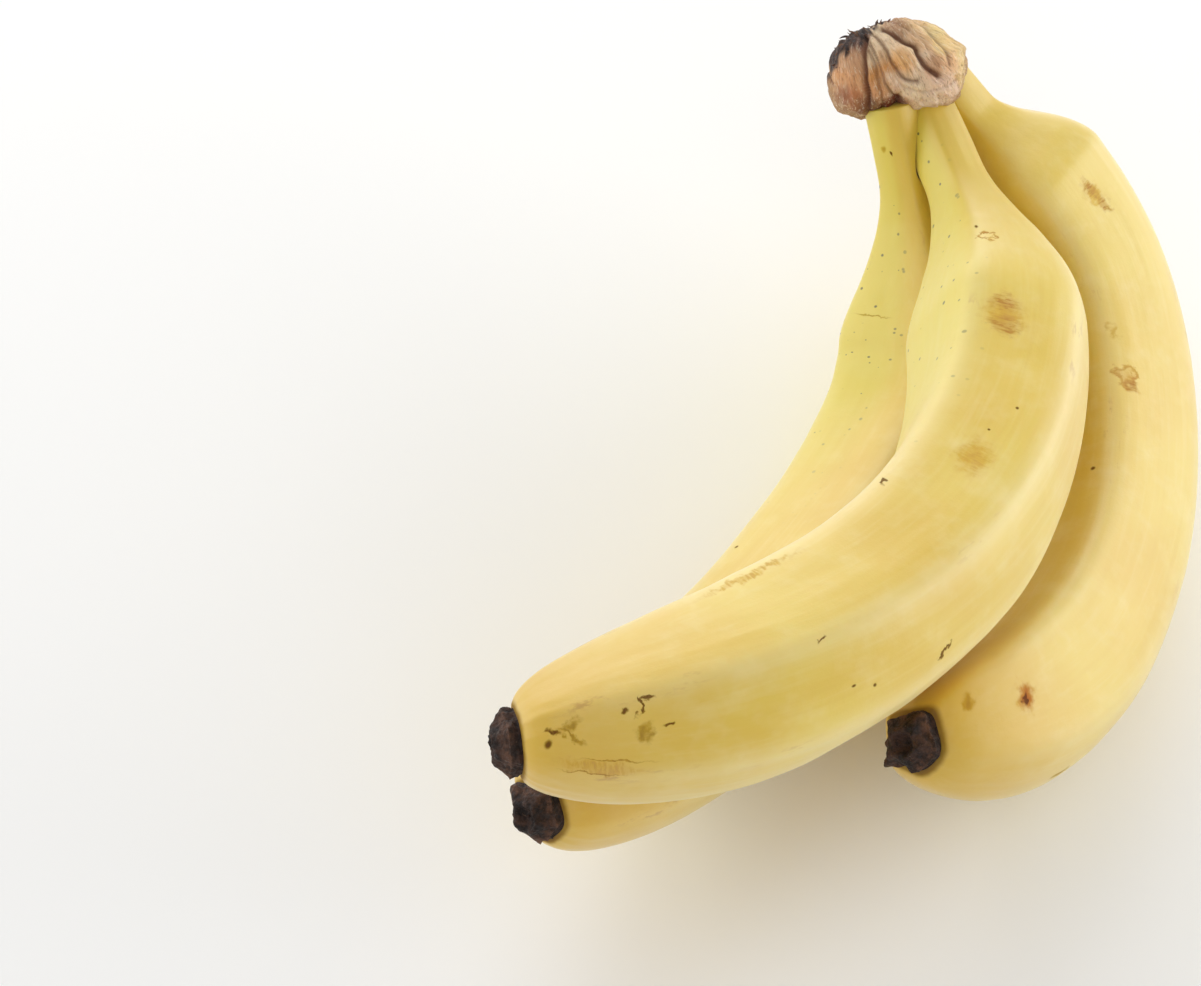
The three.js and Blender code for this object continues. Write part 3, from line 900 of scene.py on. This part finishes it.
def crown_body(way):
    """Points on a blocky egg, drawn out to the outline and sliced by the cut face, and how much each is
    on that face. The egg's reach is the sum of the way's shares of each half size, to the power of the
    blockiness, to minus one over it."""
    reach = (np.abs(way / CROWN_HALF) ** CROWN_BLOCKINESS).sum(-1) ** (-1 / CROWN_BLOCKINESS)
    flat = np.hypot(way[..., 0], way[..., 2])
    bearing = np.degrees(np.arctan2(way[..., 2], way[..., 0]))
    outline = np.interp(bearing, OUTLINE_ANGLES, OUTLINE_REACHES, period=360)
    reach = reach * lerp(1, outline / OUTLINE_MIDDLE, flat**2 * 0.9)
    sliced = CUT_DEPTH / np.maximum((way * CUT_WAY).sum(-1), 1e-3)
    cut = ease((reach - sliced) / 0.8)
    return way * np.minimum(reach, sliced)[..., None], cut


def front_creases(points):
    """How deep the creases are at each point: troughs along their lines, which wander a little, falling
    off as e to minus the distance over the width, with rounded floors."""
    x = points[..., 0] + 0.35 * noise(points, 3.0, 41)
    z = points[..., 2] + 0.35 * noise(points, 3.0, 42)
    trough = np.zeros_like(x)
    for line, deep, wide in CREASES:
        shoulder = np.hypot(away_from_line(x, z, line), CREASE_FLOOR) - CREASE_FLOOR
        trough = np.maximum(trough, CREASE_DEPTH * deep * np.exp(-shoulder / wide))
    return trough


def strands_at(points):
    """Each point's place among the strands: across them, down them from where they fan out, and in."""
    fan = np.arctan2(points[..., 2] - FAN_FROM[1], points[..., 0] - FAN_FROM[0])
    down = np.hypot(points[..., 0] - FAN_FROM[0], points[..., 2] - FAN_FROM[1])
    return np.stack([FAN_REACH * fan + 0.4 * noise(points, 3, 44), 0.12 * down, 0.4 * points[..., 1]], -1)


def darkness(points, strand_place):
    """How dark the tissue is: full within a ragged mm or so of the cut face and of the dark corner."""
    to_cut = CUT_DEPTH - (points * CUT_WAY).sum(-1)
    to_corner = DARK_CORNER - (points * DARK_WAY).sum(-1)
    ragged = 1.1 * noise(strand_place / [1, 3, 1], 0.8, 52) + 0.6 * noise(points, 2.2, 53)
    return np.maximum(ease((1.6 - to_cut + ragged) / 1.4), ease((0.7 - to_corner + ragged) / 1.4))


def crown_shape():
    """The crown's points in its own axes, and for each its place before the relief, how deep it is in a
    crease or a groove of the back, which sets the painted shade, how dark and how far on the front it is, and
    its place among the strands. The relief is a long swell at the left, a lump in the middle, a pit below,
    cords, strands, crumbs and soft folds."""
    way, turn = crown_ways()
    base, cut = crown_body(way)
    x, z = base[..., 0], base[..., 2]
    on_front = ease(-way[..., 1] / 0.5)
    trough = front_creases(base) * on_front
    ribs = np.abs(np.sin(5.5 * turn + 1.1 * noise(base, 7, 43)))
    back = 1.2 * (1 - ribs) ** 3 * (1 - on_front) * (1 - cut)
    swell = 0.9 * bump(x + 9.6, 2.6) * bump(z + 2.2, 6.5)
    lump = 1.0 * ease(1.3 - np.hypot((x - 0.4) / 2.9, (z - 0.8) / 2.9))
    pit = 1.6 * bump(np.hypot(x + 0.5, z + 6.9), 1.1)
    strand_place = strands_at(base)
    cords = 0.22 * (1 - np.abs(layered_noise(strand_place, 1.5, 47, 2)) * 2.2)
    strands = 0.22 * layered_noise(strand_place, 0.9, 45, 2)
    crumbs = layered_noise(base, 1.6, 46, 3)
    folds = 0.30 * layered_noise(base + 0.15 * base[..., [1, 2, 0]], 4.2, 49, 2)
    height = (swell + lump - pit + cords) * on_front - trough - back + strands + 0.14 * crumbs + folds
    height = height + cut * (0.5 * crumbs - 0.9 * bump((way * CUT_WAY).sum(-1) - 1, 0.1))
    dark = darkness(base, strand_place)
    return base + way * height[..., None], base, np.maximum(trough, back), dark, on_front, strand_place


def crown_tint(points, base, on_front):
    """The colour at each point: the named places' colours, weighed by e to minus the square of how far
    each is, and a plain tan away from the front."""
    wave_x = base[..., 0] + 0.9 * noise(points, 2.6, 61)
    wave_z = base[..., 2] + 0.9 * noise(points, 2.6, 62)
    total = np.zeros_like(points)
    weights = np.full(points.shape[:-1], 1e-6)
    for across, up, colour in CROWN_TINTS:
        weight = np.exp(-((wave_x - across) ** 2 + (wave_z - up) ** 2) / TINT_SPREAD)
        total += weight[..., None] * np.array(paint(*colour)[:3]) * TINT_LIFT
        weights += weight
    front = total / weights[..., None]
    front = front * np.minimum(1, TINT_MOST / np.maximum(front.max(-1, keepdims=True), 0.1))
    tan = np.array(paint(176, 136, 92)[:3]) * (1 + 0.25 * noise(points, 4, 63))[..., None]
    return lerp(tan, front, on_front[..., None])


# How deep the crown's patterns stand out, in metres.
STRAND_DEPTH = 0.0005
THREAD_DEPTH = 0.0003
CRUMB_DEPTH = 0.0002


def crown_material():
    """Dried plant tissue: the tint of each place, streaked with pale and dark threads along its strands,
    with painted shade in the creases and the grooves of the back, and black-brown at the cut."""
    material, tree, shader = new_material("crown_tissue")
    place = reading(tree, "strand_place", "Vector")
    solid = add(tree, "ShaderNodeTexCoord").outputs["Object"]
    tint = reading(tree, "tint", "Vector")
    crease = reading(tree, "crease")
    dark = reading(tree, "dark")
    strands = clouds(tree, place, 1.3, 5.0, 0.65)
    threads = clouds(tree, place, 4.0, 3.0, 0.6, 0.5)
    crumbs = clouds(tree, solid, 900.0, 5.0, 0.65)
    colour = blend(tree, step_up(tree, strands, 0.48, 0.75, 0.0, 0.45), tint, paint(246, 228, 196))
    colour = blend(tree, step_up(tree, threads, 0.56, 0.68, 0.0, 0.55), colour, paint(248, 232, 206))
    colour = blend(tree, step_up(tree, threads, 0.44, 0.34, 0.0, 0.40), colour, paint(128, 78, 44))
    colour = blend(tree, step_up(tree, strands, 0.5, 0.25, 0.0, 0.4), colour, paint(146, 92, 50))
    colour = blend(tree, step_up(tree, crumbs, 0.52, 0.8, 0.0, 0.35), colour, paint(120, 76, 46))
    # Painted shade: red-brown darkening as deep as the creases on the front and the grooves on the back.
    colour = blend(tree, step_up(tree, crease, 0.15, 0.95, 0.0, 0.85), colour, paint(104, 54, 28))
    black = blend(tree, step_up(tree, crumbs, 0.4, 0.7), paint(34, 20, 16), paint(92, 62, 46))
    colour = blend(tree, dark, colour, black)
    tree.links.new(colour, shader.inputs["Base Color"])
    tree.links.new(step_up(tree, strands, 0.3, 0.7, 0.5, 0.85), shader.inputs["Roughness"])
    bumped(tree, shader, [(strands, STRAND_DEPTH), (threads, THREAD_DEPTH), (crumbs, CRUMB_DEPTH)])
    finish_shader(shader, IOR=1.42, Subsurface_Weight=0.12, Subsurface_Radius=(1.0, 0.5, 0.2),
                  Subsurface_Scale=0.0015)
    return material


def make_crown():
    """The crown's piece, with its colours, creases and dark cut as attributes, and its slivers."""
    points, base, crease, dark, on_front, strand_place = crown_shape()
    tint = crown_tint(points, base, on_front)
    world = CROWN_MIDDLE + points @ CROWN_AXES
    piece = closed_skin("crown_tissue", world, tint=tint, crease=crease, dark=dark,
                        strand_place=strand_place)
    material = crown_material()
    piece.data.materials.append(material)
    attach(piece, "root")
    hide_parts("crown")
    make_slivers(points, dark, material)


# Slivers that stick out at the cut rim, each from, past and to a place across and up, and its width in
# mm. Each starts SLIVER_SUNK inside the front and leans back by SLIVER_BACK for each half of its length.
SLIVERS = [
    ((-7.6, 6.0), (-9.8, 7.6), (-11.2, 6.9), 0.75), ((-8.0, 5.8), (-9.4, 6.9), (-10.3, 7.5), 0.5),
    ((-4.6, 7.2), (-4.7, 8.6), (-4.1, 9.6), 0.7), ((-4.0, 7.4), (-3.6, 8.6), (-3.7, 9.3), 0.5),
    ((-7.2, 6.2), (-7.1, 6.9), (-7.5, 7.6), 0.45), ((-10.4, 5.0), (-11.0, 5.6), (-11.5, 6.3), 0.6),
    ((-11.2, 2.8), (-12.1, 2.9), (-12.7, 2.3), 0.6), ((-11.8, -0.2), (-12.6, -0.2), (-13.1, -0.7), 0.7),
    ((-11.8, -2.0), (-12.6, -2.3), (-13.0, -2.9), 0.6), ((-6.2, 6.6), (-5.9, 7.5), (-6.2, 8.1), 0.4),
    ((-2.6, 8.2), (-2.2, 9.2), (-1.5, 9.8), 0.5), ((-11.0, 4.2), (-11.8, 4.5), (-12.2, 4.1), 0.5),
]
SLIVER_SUNK = 0.6
SLIVER_BACK = 0.9
SLIVER_SEED = 8
SLIVER_RINGS = 12
SLIVER_SIDES = 6
SLIVER_BROWN = paint(150, 104, 76)

# Loose slivers: how many, their lengths and widths in mm, and how deep they start.
LOOSE_SLIVERS = 160
LOOSE_LENGTHS = (0.4, 1.1)
LOOSE_WIDTHS = (0.16, 0.42)
LOOSE_SUNK = 0.3


def set_bends(flat):
    """The three places that each set sliver bends through, with depths from the nearest front point."""
    front = flat[flat[:, 1] < 1.0]
    bends = []
    for start, past, tip, _ in SLIVERS:
        near = ((front[:, [0, 2]] - start) ** 2).sum(1)
        depth = front[near.argmin(), 1] + SLIVER_SUNK
        bends.append([(start[0], depth, start[1]), (past[0], depth + SLIVER_BACK, past[1]),
                      (tip[0], depth + 2 * SLIVER_BACK, tip[1])])
    return np.array(bends)


def loose_bends(flat, dark, rng):
    """Bends of loose slivers, which start at random dark points and lean out from the middle."""
    roots = flat[rng.choice(len(flat), LOOSE_SLIVERS, p=dark.ravel() ** 2 / (dark**2).sum())]
    out = unit(0.55 * unit(roots) + rng.normal(0, 0.5, roots.shape))
    reach = rng.uniform(*LOOSE_LENGTHS, (LOOSE_SLIVERS, 1))
    middle = roots + out * reach * 0.5 + rng.normal(0, 0.12, roots.shape)
    return np.stack([roots - unit(roots) * LOOSE_SUNK, middle, roots + out * reach], 1)


def tapered_tubes(bends, widths):
    """Rings along each bend, a curve of the second degree through its three places: flat ovals half as
    thick as wide, whose width falls by 0.8 times the square of the share, roughened by noise."""
    share = np.linspace(0, 1, SLIVER_RINGS)[None, :, None]
    path = (1 - share) ** 2 * bends[:, None, 0] + 2 * share * (1 - share) * bends[:, None, 1]
    path = path + share**2 * bends[:, None, 2]
    ahead = unit(np.gradient(path, axis=1))
    side = unit(np.cross(ahead, [0.2, 1.0, 0.1]))
    lift = np.cross(ahead, side)
    turn = np.linspace(0, 2 * np.pi, SLIVER_SIDES, endpoint=False)[None, None, :, None]
    oval = np.cos(turn) * side[:, :, None] + 0.5 * np.sin(turn) * lift[:, :, None]
    tubes = path[:, :, None] + widths[:, None, None, None] / 2 * (1 - 0.8 * share[..., None] ** 2) * oval
    return tubes + 0.14 * noise(tubes, 0.7, 71)[..., None]


def make_slivers(points, dark, material):
    """Thin tapered shreds in one mesh: a dozen set ones on the front edge, then the loose ones."""
    rng = np.random.default_rng(SLIVER_SEED)
    flat = points.reshape(-1, 3)
    bends = np.concatenate([set_bends(flat), loose_bends(flat, dark, rng)])
    set_widths = [sliver[3] for sliver in SLIVERS]
    tubes = tapered_tubes(bends, np.concatenate([set_widths, rng.uniform(*LOOSE_WIDTHS, LOOSE_SLIVERS)]))
    count = len(tubes)
    size = SLIVER_RINGS * SLIVER_SIDES
    here, _, quads = ring_faces(SLIVER_RINGS, SLIVER_SIDES)
    faces = []
    for start in range(0, count * size, size):
        faces += (quads + start).tolist()
        faces += [(here[0, ::-1] + start).tolist(), (here[-1] + start).tolist()]
    world = CROWN_MIDDLE + tubes.reshape(-1, 3) @ CROWN_AXES
    mesh = bpy.data.meshes.new("frayed_slivers")
    mesh.from_pydata((world * MM).tolist(), [], faces)
    mesh.shade_smooth()
    black = np.repeat(np.clip(1.1 - 0.5 * rng.random(count), 0, 1), size).astype(np.float32)
    brown = np.tile(SLIVER_BROWN[:3], count * size).astype(np.float32)
    mesh.attributes.new("dark", "FLOAT", "POINT").data.foreach_set("value", black)
    mesh.attributes.new("tint", "FLOAT_VECTOR", "POINT").data.foreach_set("vector", brown)
    piece = put_in_scene("frayed_slivers", mesh)
    piece.data.materials.append(material)
    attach(piece, "root")


# ---------------------------------------------------------------- the floor

FLOOR_REACH = 12.0


def make_floor():
    """A pale plain floor under the bunch."""
    corners = [(-1, -1, 0), (1, -1, 0), (1, 1, 0), (-1, 1, 0)]
    mesh = bpy.data.meshes.new("floor")
    mesh.from_pydata([(FLOOR_REACH * x, FLOOR_REACH * y, z) for x, y, z in corners], [], [(0, 1, 2, 3)])
    floor = put_in_scene("floor", mesh)
    material, _, shader = new_material("floor")
    finish_shader(shader, Base_Color=(0.96, 0.96, 0.955, 1), Roughness=0.7)
    mesh.materials.append(material)


# ---------------------------------------------------------------- the bunch

make_camera()
make_lights()
make_floor()
MARK_GROUP = mark_group()
made_before = []
for finger_name, finger in FINGERS.items():
    make_finger(finger_name, finger, made_before, MARK_GROUP)
    made_before.append(finger)
BLOSSOM_TISSUE = blossom_material()
for finger_name, finger in FINGERS.items():
    make_blossom(finger_name, finger, BLOSSOM_TISSUE)
make_crown()
